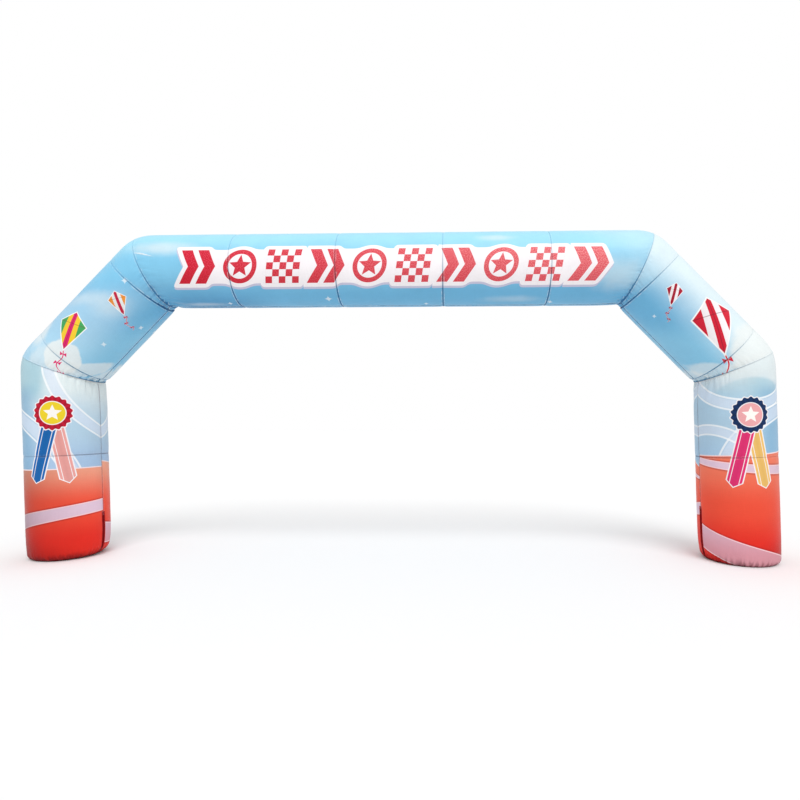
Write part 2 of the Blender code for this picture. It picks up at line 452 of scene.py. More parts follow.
def ink(red, green, blue):
    """A printed colour, from 0 to 255 as it looks in white light, as the numbers that Blender mixes."""
    shares = [value / 255.0 for value in (red, green, blue)]
    return (*(s / 12.92 if s <= 0.04045 else ((s + 0.055) / 1.055) ** 2.4 for s in shares), 1.0)


def printed(under, over, mask):
    """One colour printed over another where the mask is 1."""
    node = mask.tree.nodes.new("ShaderNodeMix")
    node.data_type = "RGBA"
    factor, first, second, mixed = 0, 6, 7, 2  # the colour sockets of a Mix node
    return wired(node, {factor: mask, first: under, second: over}, mixed)


def layered(colour, *layers):
    """A colour with others printed over it one by one, each with its own mask."""
    for over, mask in layers:
        colour = printed(colour, over, mask)
    return colour


def map_places(tree, name):
    """Where a point lies on one of the cloth's two maps, in metres."""
    node = tree.nodes.new("ShaderNodeUVMap")
    node.uv_map = name
    return Wire(node.outputs[0])


def own_place(tree):
    """Where a point of the piece lies, in metres."""
    return Wire(tree.nodes.new("ShaderNodeTexCoord").outputs["Object"])


def stored(tree, name):
    """A number that the cloth's points carry."""
    node = tree.nodes.new("ShaderNodeAttribute")
    node.attribute_name = name
    return Wire(node.outputs["Fac"])


def use_group(tree, group, values):
    """A node group placed in a tree with its own values, and its outputs by name."""
    node = tree.nodes.new("ShaderNodeGroup")
    node.node_tree = group
    for name, value in values.items():
        plug(value, node.inputs[name])
    return {output.name: Wire(output) for output in node.outputs}


def cloth_finish_group():
    """Printed coated polyester close to: weave, slubs, painted seam shade and highlights, grime and shade low
    down.
    """
    inputs = {
        "Print": (0.5, 0.5, 0.5, 1.0),
        "Thread pitch": 0.0014,
        "Thread height": 0.00012,
        "Tube radius": 0.48,
        "Seam tint": (0.2, 0.3, 0.4),
        "Seam shade": 0.9,
        "Grime and shade": 0.7,
    }
    outputs = {"Color": "Color", "Roughness": "Float", "Height": "Float"}
    tree, given, put_out = new_group("Cloth finish", "ShaderNodeTree", inputs, outputs)
    weave_u, weave_v, _ = separated(map_places(tree, "Weave"))
    turn = given["Thread pitch"] / (2.0 * math.pi)
    threads = (weave_u / turn).math("SINE") * (weave_v / turn).math("SINE")
    weft = noise(combined(weave_u * 6.0, weave_v * 260.0), 1.0, 1.0)
    warp = noise(combined(weave_u * 260.0, weave_v * 6.0, 5.0), 1.0, 1.0)
    place = own_place(tree)
    height = separated(place)[2]
    cloudy = noise(place, 2.6, 3.0, 0.6)
    crumple = noise(place, 34.0, 3.0, 0.6)
    seam = stored(tree, "Seam distance")
    inner = 0.5 + (weave_u / given["Tube radius"]).math("COSINE") * 0.5

    # Painted shade: dark lines in the seams, and near them, inside the bend, darkening that is part soil,
    # part shade.
    line = 1.0 - seam.rise(0.002, 0.007 + inner * 0.006)
    soiled = (1.0 - seam.rise(0.0, 0.05)) * noise(place, 9.0, 3.0, 0.6) * inner * 0.16
    shade = (line * (0.10 + inner.rise(0.25, 0.95) * 0.90) + soiled) * given["Seam shade"]
    # Painted highlights: pale lines beside the seams and along the crease.
    painted_highlight = seam.rise(0.009, 0.014) * seam.rise(0.024, 0.016) * (0.1 + inner * 0.9)
    painted_highlight = painted_highlight * noise(place, 16.0, 3.0, 0.65).rise(0.35, 0.7) * 0.75
    painted_highlight = painted_highlight * given["Seam shade"] ** 2.0 + stored(tree, "Crease").rise(0.05, 0.50) * 0.92

    # Near the ground: grime specks, painted shade in the folds and along the very bottom; and thin threads
    # that differ in tone.
    in_folds = stored(tree, "Fold depth").rise(0.0025, 0.008)
    specks = noise(combined(weave_u * 14.0, weave_v * 7.0), 1.0, 4.0, 0.65).rise(0.42, 0.66)
    grime_and_shade = height.rise(0.13, 0.02) * 0.6 * (specks * 0.4 + in_folds)
    grime_and_shade = (grime_and_shade + height.rise(0.035, 0.0) * 0.7) * given["Grime and shade"]
    tone = 1.0 + (weft + warp - 1.0) * 0.09 + (cloudy - 0.5) * 0.14 + threads * 0.015
    toned = printed(given["Print"].scaled(tone), ink(240, 246, 250), painted_highlight)
    shaded = toned.vector_math("MULTIPLY", given["Seam tint"])
    put_out("Color", layered(toned, (shaded, shade), (ink(92, 22, 30), grime_and_shade)))
    put_out("Roughness", 0.40 + (crumple - 0.5) * 0.12 + (cloudy - 0.5) * 0.10 + grime_and_shade * 0.5 + shade * 0.2)
    crumple_height = 0.0022
    crumpled = (crumple - 0.5) * (1.0 - seam.rise(0.0, 0.25) * 0.75) * crumple_height
    put_out("Height", threads * given["Thread height"] + crumpled)
    return tree


cloth_finish = cloth_finish_group()


def new_material(name):
    """A material, its node tree and its shader."""
    material = bpy.data.materials.new(name)
    material.use_nodes = True
    return material, material.node_tree, material.node_tree.nodes["Principled BSDF"]


def surface(shader, colour, roughness, height):
    """Plugs a colour, a roughness and a relief in metres into a shader."""
    bump = colour.tree.nodes.new("ShaderNodeBump")
    normal = wired(bump, {"Distance": 1.0, "Height": height}, "Normal")
    for name, value in (("Base Color", colour), ("Roughness", roughness), ("Normal", normal)):
        plug(value, shader.inputs[name])


# The cloth's gloss, how strong the shade in its seams is, and what the shade leaves of the print.
Finish = namedtuple("Finish", "gloss seam_shade seam_tint")


def cloth_material(name, finish, print_on, *side):
    """Coated polyester with a print on it, which print_on draws from the places on the board."""
    material, tree, shader = new_material(name)
    values = {
        "Tube radius": TUBE_RADIUS,
        "Seam shade": finish.seam_shade,
        "Seam tint": finish.seam_tint,
        **print_on(map_places(tree, "Board"), *side),
    }
    finished = use_group(tree, cloth_finish, values)
    surface(shader, finished["Color"], finished["Roughness"], finished["Height"])
    shader.inputs["Specular IOR Level"].default_value = finish.gloss
    shader.inputs["Sheen Weight"].default_value = finish.gloss / 4
    shader.inputs["Sheen Roughness"].default_value = 0.4
    return material


# Shapes of the print. Each gives the distance to the shape's edge, which is below 0 on the shape.
PRINT_EDGE = 0.002  # how soft an edge the print has


def on_shape(distance):
    return distance.rise(PRINT_EDGE, -PRINT_EDGE)


def ring_of(x, z, radius):
    return (x * x + z * z).math("SQRT") - radius


def block_of(x, z, half_width, half_height):
    return (abs(x) - half_width).math("MAXIMUM", abs(z) - half_height)


def star_of(x, z, radius, points=5, waist=0.45):
    """A star with one point up. Every half point is folded onto the first, whose edge is a straight line."""
    half = math.pi / points
    angle = x.math("ARCTAN2", z)
    folded = abs((angle + half).math("FLOORED_MODULO", 2.0 * half) - half)
    away = (x * x + z * z).math("SQRT")
    up, side = folded.math("COSINE") * away, folded.math("SINE") * away
    inner = Vector((math.sin(half), math.cos(half))) * waist - Vector((0.0, 1.0))
    normal = Vector((-inner.y, inner.x)).normalized()
    return side * normal.x + (up - radius) * normal.y


def turned(x, z, cosine, sine):
    """The place seen from a shape that is turned anticlockwise."""
    return x * cosine + z * sine, z * cosine - x * sine


BARE_CLOTH = (1.0, 1.0, 1.0, 1.0)


def new_print(name, inputs, outputs):
    """A group for a shape that is printed about a centre, and where a place lies from that centre."""
    placed = {"Board": ORIGIN, "Centre X": 0.0, "Centre Z": 0.0}
    tree, given, put_out = new_group(name, "ShaderNodeTree", {**placed, **inputs}, outputs)
    x, z, _ = separated(given["Board"])
    return tree, given, put_out, x - given["Centre X"], z - given["Centre Z"]


ROSETTE_INPUTS = ("Rim", "Middle", "Star", "Left tail", "Right tail")


def rosette_group():
    """An award rosette: a pleated rim, a round middle with a star, and two notched tails."""
    inputs = {title: BARE_CLOTH for title in ("Under", *ROSETTE_INPUTS)}
    tree, given, put_out, x, z = new_print("Rosette", inputs, {"Color": "Color"})
    rim_radius, tail_length, tail_half_width, tail_spread, pleats = 0.215, 0.92, 0.085, 0.21, 18.0
    margin = 0.014  # of white round the tails and the rim
    white = ink(247, 243, 245)
    colour = given["Under"]
    for title, angle in (("Right tail", tail_spread), ("Left tail", -tail_spread)):
        across, up = turned(x, z, math.cos(angle), math.sin(angle))
        middle = up + tail_length / 2.0
        notch = up * -1.0 + abs(across) * 0.8 - tail_length
        tail = block_of(across, middle, tail_half_width, tail_length / 2.0).math("MAXIMUM", notch)
        lines = on_shape(abs(abs(across) - tail_half_width * 0.62) - 0.004)
        colour = layered(
            colour,
            (white, on_shape(tail - margin)),
            (given[title].scaled(0.86 + abs(across) * 1.6), on_shape(tail)),
            (white, lines * on_shape(tail)),
        )
    pleat = (x.math("ARCTAN2", z) * pleats).math("COSINE")
    rim = ring_of(x, z, rim_radius) - pleat * 0.010
    colour = layered(
        colour,
        (white, on_shape(rim - margin)),
        (given["Rim"].scaled(0.84 + pleat * 0.16), on_shape(rim)),
        (white, on_shape(ring_of(x, z, rim_radius * 0.72))),
        (given["Middle"], on_shape(ring_of(x, z, rim_radius * 0.67))),
        (given["Star"], on_shape(star_of(x, z, rim_radius * 0.50))),
    )
    put_out("Color", colour)
    return tree


rosette = rosette_group()


def bow_through(share, inside, middle, outside):
    """A height that runs in a smooth bow: inside at share 1, middle at 0, outside at -1."""
    return share * (inside - outside) / 2.0 + share * share * (inside / 2.0 + outside / 2.0 - middle) + middle


# A lane line is a lilac band with pale edges. Its top and bottom edges each run in a bow across the leg's
# front or back, and those of the front run on round the outer side.
Lane = namedtuple("Lane", "on_back top bottom")
LANES = {
    "left": (
        Lane(False, (0.785, 0.675, 0.50), (0.622, 0.505, 0.28)),
        Lane(True, (0.460, 0.380, 0.50), (0.172, 0.150, 0.28)),
    ),
    "right": (
        Lane(False, (1.345, 1.285, 1.285), (1.262, 1.175, 1.165)),
        Lane(True, (1.085, 1.250, 1.285), (1.048, 1.150, 1.165)),
        Lane(False, (0.48, 0.25, 0.04), (0.17, -0.08, -0.30)),
        Lane(True, (-0.20, -0.12, 0.04), (-0.60, -0.60, -0.60)),
        Lane(True, (0.745, 0.63, 0.48), (0.579, 0.51, 0.50)),
    ),
}
GROUND_TOP = {"left": (1.215, 1.19, 1.17), "right": (1.362, 1.40, 1.47)}
GROUND_TOP_BEHIND = {"left": (1.29, 1.191, 1.17), "right": (1.21, 1.448, 1.47)}
GROUND_PALE = {"left": ink(240, 166, 138), "right": ink(242, 124, 96)}
# Painted shade on the red ground: FRONT_TONE is its tone in front, OUTER_SHADE how it changes towards the
# sides.
FRONT_TONE = {"left": 0.76, "right": 0.98}
OUTER_SHADE = {"left": 0.42, "right": 0.12}  # how much darker the ground is on the outer side than in front
LANE_EDGE = 0.014

# Beside the vent a dark red strip is painted up to this height: painted shade round the zip, darkest at the
# groove.
VENT_SHADE_HALF_WIDTH = 0.034
VENT_SHADE_TOP = {"left": 0.60, "right": 0.69}

# The upper legs carry soft bands of haze: centre, radius and width of each.
Swoop = namedtuple("Swoop", "x z radius width")
SWOOPS = {
    "left": (Swoop(-5.35, 0.65, 1.30, 0.10), Swoop(-3.30, 2.75, 1.16, 0.07)),
    "right": (Swoop(5.10, 1.00, 0.98, 0.09), Swoop(3.95, 1.05, 0.66, 0.06), Swoop(4.40, 3.00, 0.98, 0.07)),
}
HAZE = {  # low down, in the middle and high up
    "left": (ink(170, 198, 228), ink(184, 212, 230), ink(230, 240, 240)),
    "right": (ink(172, 206, 234), ink(178, 208, 228), ink(224, 234, 236)),
}
HIGH_HAZE = {"left": (1.75, 2.35), "right": (2.05, 2.45)}
# A bluer blot of haze lies on the outer side of each: its centre, radius, softness and strength.
Blot = namedtuple("Blot", "x z radius softness strength")
OUTER_HAZE = {"left": Blot(-5.30, 2.50, 0.98, 0.22, 0.80), "right": Blot(4.52, 1.63, 0.76, 0.05, 0.52)}
ROSETTE_CENTRE = {"left": (-4.38, 1.93), "right": (4.45, 1.90)}
ROSETTE_COLOURS = {  # in the order of the group's inputs
    "left": (ink(196, 24, 52), ink(236, 208, 44), ink(250, 246, 240), ink(24, 104, 178), ink(240, 166, 160)),
    "right": (ink(22, 52, 98), ink(238, 170, 172), ink(255, 250, 244), ink(232, 52, 118), ink(244, 196, 110)),
}


def leg_print(board, side):
    """A red running ground with lilac lane lines below, pale haze with soft bands above, and a rosette."""
    tree = board.tree
    x, z, _ = separated(board)
    middle_x = z * (KNEE_FROM_FOOT[side] / KNEE_Z) + feet[side].x
    share = (x - middle_x) * (SIDES[side] / (TUBE_RADIUS * math.pi / 2.0))
    behind = separated(own_place(tree))[1].math("GREATER_THAN", 0.0)

    low, mid, high = HAZE[side]
    blot = OUTER_HAZE[side]
    outer = ring_of(x - blot.x, z - blot.z, blot.radius).rise(0.0, -blot.softness) * z.rise(1.95, 2.25)
    outer = outer * (share.rise(0.22, -0.05) * 0.4 + 0.6) * blot.strength
    colour = layered(
        low,
        (mid, z.rise(1.25, 1.75)),
        (high, (z + (noise(board, 1.7, 3.0) - 0.5) * 0.5).rise(*HIGH_HAZE[side])),
        (ink(156, 200, 215), outer),
        (ink(122, 172, 206), share.rise(0.10, -0.32) * z.rise(2.38, 2.10) * 0.70),
    )
    for swoop in SWOOPS[side]:
        band = abs(ring_of(x - swoop.x, z - swoop.z, swoop.radius))
        fill = band.rise(swoop.width, swoop.width * 0.6) * 0.65
        edge = abs(band - swoop.width).rise(0.016, 0.007) * 0.8
        colour = layered(colour, (ink(222, 232, 247), fill), (ink(250, 252, 254), edge))

    front_top, back_top = bow_through(share, *GROUND_TOP[side]), bow_through(share, *GROUND_TOP_BEHIND[side])
    ground = z - front_top * (1.0 - behind) - back_top * behind
    red = layered(
        GROUND_PALE[side],
        (ink(240, 82, 58), z.rise(1.32, 0.72)),
        (ink(230, 46, 34), z.rise(0.75, 0.25)),
        (ink(184, 16, 14), (z + share * 0.28).rise(0.34, -0.12)),
    )
    colour = layered(colour, (ink(247, 226, 226), on_shape(ground - LANE_EDGE)), (red, on_shape(ground)))
    for lane in LANES[side]:
        top, bottom = bow_through(share, *lane.top), bow_through(share, *lane.bottom)
        band = (z - top).math("MAXIMUM", bottom - z)
        here = behind if lane.on_back else 1.0 - behind
        lilac = printed(ink(226, 198, 216), ink(218, 152, 164), z.rise(0.68, 0.10))
        colour = layered(
            colour,
            (ink(150, 22, 24), band.rise(0.030, 0.004) * here * 0.45),
            (ink(246, 208, 214), on_shape(band) * here),
            (lilac, on_shape(band + LANE_EDGE) * here),
        )
    # Painted shade: the red ground darker towards the outer side and lighter towards the passage.
    tone = (FRONT_TONE[side] + share * OUTER_SHADE[side]).math("MAXIMUM", 0.60).math("MINIMUM", 1.10)
    colour = colour.scaled(1.0 + (tone - 1.0) * on_shape(ground))

    around = separated(map_places(tree, "Weave"))[0]
    from_side = around.math("MINIMUM", TUBE_RADIUS * 2.0 * math.pi - around)
    # Painted shade round the zip: a dark red strip beside the vent, darkest at the groove.
    facing = on_shape((from_side - VENT_SHADE_HALF_WIDTH).math("MAXIMUM", z - VENT_SHADE_TOP[side]))
    vent_shade_red = printed(ink(150, 2, 10), ink(206, 20, 20), from_side.rise(0.014, VENT_SHADE_HALF_WIDTH))
    colour = printed(colour, vent_shade_red, facing)
    centre_x, centre_z = ROSETTE_CENTRE[side]
    values = {"Under": colour, "Board": board, "Centre X": centre_x, "Centre Z": centre_z}
    values.update(zip(ROSETTE_INPUTS, ROSETTE_COLOURS[side]))
    colour = use_group(tree, rosette, values)["Color"]
    return {"Print": colour, "Seam shade": (1.0 - facing * 0.8) * LEG_FINISH.seam_shade}


LEG_FINISH = Finish(0.13, 0.55, (0.40, 0.30, 0.34))
leg_cloth = {side: cloth_material(f"leg cloth {side}", LEG_FINISH, leg_print, side) for side in SIDES}
leg_seam = {side: LEG_SEAM_Z / legs[side].along.z for side in SIDES}
UP = Vector((0.0, 0.0, 1.0))
for side in SIDES:
    floor_cut = cut_run(legs[side], feet[side], UP, FOOT_EDGES[side])
    seam_cut = ring_cut(leg_seam[side])
    sew(f"leg_lower_{side}", legs[side], floor_cut, seam_cut, leg_cloth[side])


# ---- Leg vents -------------------------------------------------------------------------------------
# A closed zip low on each leg's lengthwise seam, which lets the air out when the arch is packed. Its dark red
# tape is sewn over the groove and rolled to a lip on each side. Between the lips lie the coil and the slider.

LIP_OFFSET = 0.0096  # of each lip's middle from the seam
LIP_RADIUS = 0.0052
LIP_HEIGHT = 0.0075  # of each lip's middle over the bottom of the groove
LIP_RIPPLE = 0.0007
LIP_RIPPLE_LENGTH = 0.043
LIP_FROM, LIP_SWEEP, LIP_STEPS = 215, 230, 8  # the part of a circle, in degrees, that a lip is rolled through
SLIT_HEIGHT = 0.0048
SLIT_HALF_WIDTH = 0.0022
TAPE_HALF_WIDTH = 0.007  # of the tape's back
TAPE_LIFT = 0.001  # of the tape's back over the bottom of the groove
COIL_PITCH = 0.0034
COIL_ROD = {"Along": 0.0012, "Across": 0.0030, "Thickness": 0.0011}
COIL_HEIGHT = 0.0070
TAPE_RIB = 0.0022  # from one rib of the tape to the next
SLIDER_DROP = 0.010  # from the groove's upper end to the slider
SLIDER_SECTIONS = (  # distance down from its top, half width, and its lowest and highest over the groove
    (0.000, 0.0012, 0.0078, 0.0092),
    (0.001, 0.0036, 0.0070, 0.0112),
    (0.006, 0.0046, 0.0066, 0.0130),
    (0.012, 0.0040, 0.0070, 0.0132),
    (0.014, 0.0018, 0.0096, 0.0124),
    (0.018, 0.0016, 0.0104, 0.0120),
    (0.020, 0.0034, 0.0102, 0.0118),
    (0.040, 0.0042, 0.0098, 0.0114),
    (0.046, 0.0036, 0.0097, 0.0112),
    (0.049, 0.0014, 0.0099, 0.0109),
)
SLIDER_SIDES = 12


def groove(side):
    """Points along the bottom of a lower leg's lengthwise groove beside its vent, from the ground up."""
    low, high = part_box(f"vent_{side}")
    leg = legs[side]
    points = [v.co.copy() for v in panels[f"leg_lower_{side}"].data.vertices if abs(v.co.y) < 0.00001]
    points = [p for p in points if (p - leg.start).dot(leg.inward) > TUBE_RADIUS / 2 and low.z < p.z < high.z]
    return sorted(points, key=lambda p: p.z)


def swept(name, rings, material):
    """A smooth, closed skin over rings of points that follow one another, with a flat cap at both ends."""
    count = len(rings[0])
    points = [point for ring in rings for point in ring]
    faces = [tuple(range(count)), tuple(range(len(points) - count, len(points)))]
    for k in range(len(rings) - 1):
        for i in range(count):
            j = (i + 1) % count
            faces.append((k * count + i, k * count + j, (k + 1) * count + j, (k + 1) * count + i))
    mesh = bpy.data.meshes.new(name)
    mesh.from_pydata(points, [], faces)
    shell = bmesh.new()
    shell.from_mesh(mesh)
    bmesh.ops.recalc_face_normals(shell, faces=shell.faces)
    shell.to_mesh(mesh)
    shell.free()
    mesh.materials.append(material)
    mesh.shade_smooth()
    return new_thing(name, mesh)


def tape_section(ripple):
    """The tape's section, as offsets across the groove and out of it: two rolled lips beside the slit."""
    lip = []
    for step in range(LIP_STEPS + 1):
        angle = math.radians(LIP_FROM - step * LIP_SWEEP / LIP_STEPS)
        across, out = math.cos(angle) * LIP_RADIUS, math.sin(angle) * (LIP_RADIUS + ripple)
        lip.append((across - LIP_OFFSET, out + LIP_HEIGHT))
    slit = [(-SLIT_HALF_WIDTH, SLIT_HEIGHT), (SLIT_HALF_WIDTH, SLIT_HEIGHT)]
    back = [(TAPE_HALF_WIDTH, TAPE_LIFT), (-TAPE_HALF_WIDTH, TAPE_LIFT)]
    return [*lip, *slit, *((-across, out) for across, out in reversed(lip)), *back]


def vent_material(name, dark, light, roughness):
    """Dark red tape, lighter on top of its lips and threads, with painted shade down in the slit."""
    material, tree, shader = new_material(name)
    shader.inputs["Specular IOR Level"].default_value = 0.15
    place = own_place(tree)
    x, y, z = separated(place)
    ribs = (z * (2.0 * math.pi / TAPE_RIB)).math("SINE")
    weave = noise(combined(x * 900.0, y * 900.0, z * 300.0), 1.0, 2.0)
    worn = noise(place, 60.0, 3.0, 0.6).rise(0.5, 0.75)
    # Painted shade: darker towards the slit between the lips.
    lip = abs(y).rise(0.0025, 0.0075)
    colour = printed(dark, light, lip * 0.85 + worn * 0.15).scaled(0.86 + weave * 0.28 + ribs * 0.04)
    surface(shader, colour, roughness + (weave - 0.5) * 0.2 - worn * 0.12, ribs * 0.00012 + weave * 0.0003)
    return material


def rods_tree():
    """Small rods that follow one another along a path, or lie across it: stitches, or the teeth of a zip."""
    inputs = {
        "Geometry": "Geometry",
        "Marked only": "Bool",
        "Pitch": 0.01,
        "Along": 0.003,
        "Across": 0.0006,
        "Thickness": 0.0006,
        "Material": "Material",
    }
    tree, given, put_out = new_group("Rods", "GeometryNodeTree", inputs, {"Geometry": "Geometry"})
    rod = wired(tree.nodes.new("GeometryNodeMeshIcoSphere"), {"Radius": 1.0, "Subdivisions": 1}, "Mesh")
    mark = tree.nodes.new("GeometryNodeInputNamedAttribute")
    mark.data_type = "BOOLEAN"
    marked = wired(mark, {"Name": "Stitched"}, "Attribute")
    chosen = (marked + (1.0 - given["Marked only"])).math("GREATER_THAN", 0.5)
    edges = {"Mesh": given["Geometry"], "Selection": chosen}
    path = wired(tree.nodes.new("GeometryNodeMeshToCurve"), edges, "Curve")
    spacing = tree.nodes.new("GeometryNodeResampleCurve")
    spacing.mode = "LENGTH"
    spaced = wired(spacing, {"Curve": path, "Length": given["Pitch"]}, "Curve")
    facing = tree.nodes.new("FunctionNodeAlignRotationToVector")
    facing.axis = "X"
    tangent = Wire(tree.nodes.new("GeometryNodeInputTangent").outputs[0])
    values = {
        "Points": spaced,
        "Instance": rod,
        "Rotation": wired(facing, {"Vector": tangent}, "Rotation"),
        "Scale": combined(given["Along"], given["Across"], given["Thickness"]),
    }
    placed = wired(tree.nodes.new("GeometryNodeInstanceOnPoints"), values, "Instances")
    realized = ("GeometryNodeRealizeInstances", {})
    finish = ("GeometryNodeSetMaterial", {"Material": given["Material"]})
    put_out("Geometry", passed_through(placed, realized, finish))
    return tree


def slider_rings(top, out, up):
    """The slider's body and pull tab as one drop-shaped piece, hanging on the coil from its upper end."""
    rings = []
    for down, half_width, low, high in SLIDER_SECTIONS:
        middle = top - up * down
        ring = []
        for step in range(SLIDER_SIDES):
            angle = step * 2 * math.pi / SLIDER_SIDES
            height = (low + high) / 2 + math.sin(angle) * (high - low) / 2
            ring.append(middle + Vector((0.0, math.cos(angle) * half_width, 0.0)) + out * height)
        rings.append(ring)
    return rings


rods = rods_tree()
vent_tape = vent_material("vent tape", ink(64, 0, 4), ink(146, 4, 14), 0.8)
vent_coil = vent_material("vent coil", ink(72, 2, 8), ink(110, 6, 14), 0.6)
for side in SIDES:
    leg = legs[side]
    bottom = groove(side)
    rings = []
    for place in bottom:
        ripple = math.sin(place.z * 2 * math.pi / LIP_RIPPLE_LENGTH + SIDES[side]) * LIP_RIPPLE
        offsets = tape_section(ripple)
        rings.append([place + Vector((0.0, across, 0.0)) + leg.inward * out for across, out in offsets])
    tape = swept(f"vent_{side}_tape", rings, vent_tape)
    slider_top = bottom[-1] - leg.along * SLIDER_DROP
    slider = swept(f"vent_{side}_slider", slider_rings(slider_top, leg.inward, leg.along), vent_coil)
    line = [place + leg.inward * COIL_HEIGHT for place in bottom]
    path = new_thing(f"vent_{side}_coil")
    path.data.from_pydata(line, [(k, k + 1) for k in range(len(line) - 1)], [])
    coil = grow_on(path, rods, {"Pitch": COIL_PITCH, **COIL_ROD, "Material": vent_coil})
    for piece in (tape, slider, coil):
        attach(piece, "root")
        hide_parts(f"vent_{side}")


# ---- Upper legs ------------------------------------------------------------------------------------
# One panel of the same cloth on each leg, printed as pale haze. It is sewn to the lower leg at a ring seam,
# and to the wedge at the knee with a slanting seam, which gathers it into folds on the passage's side.

KNEE_EDGE = Edge(0.005, 0.0, 0.006, 0.024, 0.0, 0.07, 0.16, 0.013, 0.055, 0.19, 0.034, 0.42)


def mitre_cut(run, point, lower, upper, edge):
    """Where a run is cut along the slanting seam at which two runs meet."""
    return cut_run(run, point, (lower + upper).normalized(), edge)


for side in SIDES:
    leg = legs[side]
    knee_cut = mitre_cut(leg, knees[side], leg.along, braces[side].along, KNEE_EDGE)
    sew(f"leg_upper_{side}", leg, ring_cut(leg_seam[side]), knee_cut, leg_cloth[side])


# ---- Knee gussets, braces and corner gussets -------------------------------------------------------
# Three panels of coated polyester on each side, from the knee up to the beam: a wedge at the knee, the long
# brace and a wedge at the corner. They are printed as sky with clouds and kites, and sewn with ring seams.

GUSSET_INNER = 0.055  # how long each wedge is on the inside of the bend
CORNER_EDGE = KNEE_EDGE._replace(outer_pinch=0.033)


def puff_group():
    """A soft puff of cloud: an oval whose edge wanders."""
    inputs = {"Half width": 0.3, "Half height": 0.2, "Softness": 0.2}
    tree, given, put_out, x, z = new_print("Puff", inputs, {"Mask": "Float"})
    oval = ring_of(x / given["Half width"], z / given["Half height"], 0.0)
    away = oval + (noise(given["Board"], 5.0, 4.0, 0.55) - 0.5) * 0.5
    put_out("Mask", away.rise(1.0, 1.0 - given["Softness"]))
    return tree


def sparkle_group():
    """A small white glint with four hollow-sided points."""
    tree, given, put_out, x, z = new_print("Sparkle", {"Size": 0.05}, {"Mask": "Float"})
    across, up = abs(x) / given["Size"], abs(z) / given["Size"]
    put_out("Mask", (across**0.6 + up**0.6).rise(1.0, 0.75))
    return tree


def kite_group():
    """A striped kite with a white edge, two spars, and a waving tail with bows, in units of its height."""
    inputs = {"Under": BARE_CLOTH, "Height": 0.5, "Cosine": 1.0, "Sine": 0.0}
    inputs.update({title: BARE_CLOTH for title in ("First", "Second", "Third")})
    tree, given, put_out, x, z = new_print("Kite", inputs, {"Color": "Color"})
    x, z = turned(x / given["Height"], z / given["Height"], given["Cosine"], given["Sine"])
    wing, wing_z, top, bottom = 0.36, 0.12, 0.42, -0.58
    tail_half_width, tail_half_length, bow_pitch, bow_half_width, bows_length = 0.012, 0.40, 0.26, 0.075, 0.78
    upper = Vector((top - wing_z, wing)).normalized()
    lower = Vector((wing_z - bottom, -wing)).normalized()
    sail = (abs(x) * upper.x + (z - top) * upper.y).math("MAXIMUM", abs(x) * lower.x + (z - bottom) * lower.y)
    stripe = ((abs(x) + 0.06) / 0.12).math("FLOOR")
    wave = (z * 11.0).math("SINE") * (z - bottom) * 0.16
    tail = block_of(x - wave, z - (bottom - tail_half_length), tail_half_width, tail_half_length)
    bow_z = (z - bottom).math("FLOORED_MODULO", bow_pitch) - bow_pitch / 2
    bows = (abs(bow_z) - abs(x - wave) * 0.7).math("MAXIMUM", abs(x - wave) - bow_half_width)
    bows = bows.math("MAXIMUM", z - bottom).math("MAXIMUM", bottom - bows_length - z)
    striped = layered(
        given["First"],
        (given["Second"], stripe.math("FLOORED_MODULO", 2.0)),
        (given["Third"], stripe.math("GREATER_THAN", 1.5)),
    )
    spars = (abs(x) - 0.006).math("MINIMUM", abs(z - wing_z) - 0.006).math("MAXIMUM", sail)
    colour = layered(
        given["Under"],
        (ink(246, 246, 246), tail.rise(0.012, 0.004)),
        (given["First"], tail.rise(0.003, -0.003)),
        (given["First"], bows.rise(0.006, -0.006)),
        (ink(252, 252, 252), sail.rise(0.028, 0.020)),
        (striped.scaled(0.88 + (x + wing) * 0.25), sail.rise(0.004, -0.004)),
        (ink(120, 20, 40), spars.rise(0.004, -0.002) * 0.6),
    )
    put_out("Color", colour)
    return tree


puff, sparkle, kite = puff_group(), sparkle_group(), kite_group()

# Puffs of cloud: centre, half width and height, softness, and how white each is.
Puff = namedtuple("Puff", "x z half_width half_height softness whiteness")
PUFFS = (
    Puff(-4.42, 2.56, 0.36, 0.30, 0.35, 0.45),
    Puff(-4.26, 2.65, 0.23, 0.24, 0.13, 0.85),
    Puff(-4.02, 2.44, 0.42, 0.12, 0.30, 0.65),
    Puff(-3.78, 2.18, 0.42, 0.22, 0.30, 0.62),
    Puff(-4.62, 3.05, 0.20, 0.34, 0.60, 0.65),
    Puff(-3.95, 3.42, 0.50, 0.14, 0.90, 0.35),
    Puff(-3.62, 3.30, 0.36, 0.24, 1.00, 0.35),
    Puff(4.55, 2.72, 0.40, 0.44, 0.35, 0.92),
    Puff(4.12, 2.40, 0.50, 0.16, 0.30, 0.55),
    Puff(4.62, 2.50, 0.50, 0.22, 0.40, 0.80),
    Puff(3.80, 2.16, 0.45, 0.24, 0.30, 0.55),
    Puff(2.85, 3.66, 0.46, 0.34, 0.90, 0.42),
    Puff(1.32, 4.18, 0.34, 0.09, 0.90, 0.45),
    Puff(-2.95, 4.05, 0.60, 0.16, 0.90, 0.55),
    Puff(-2.55, 3.22, 0.42, 0.07, 0.90, 0.35),
    Puff(1.55, 3.30, 0.55, 0.10, 0.90, 0.25),
)
# Painted glare: from here up and to +X the sky turns white.
GLARE_FROM = 4.60  # how far up and to +X the sky turns white
SPARKLES = (
    (-2.20, 3.24, 0.05),
    (-0.86, 3.33, 0.07),
    (0.42, 3.20, 0.05),
    (-3.42, 3.62, 0.06),
    (-3.30, 2.98, 0.05),
    (2.05, 3.22, 0.06),
    (3.30, 3.12, 0.04),
    (-3.76, 2.80, 0.05),
)


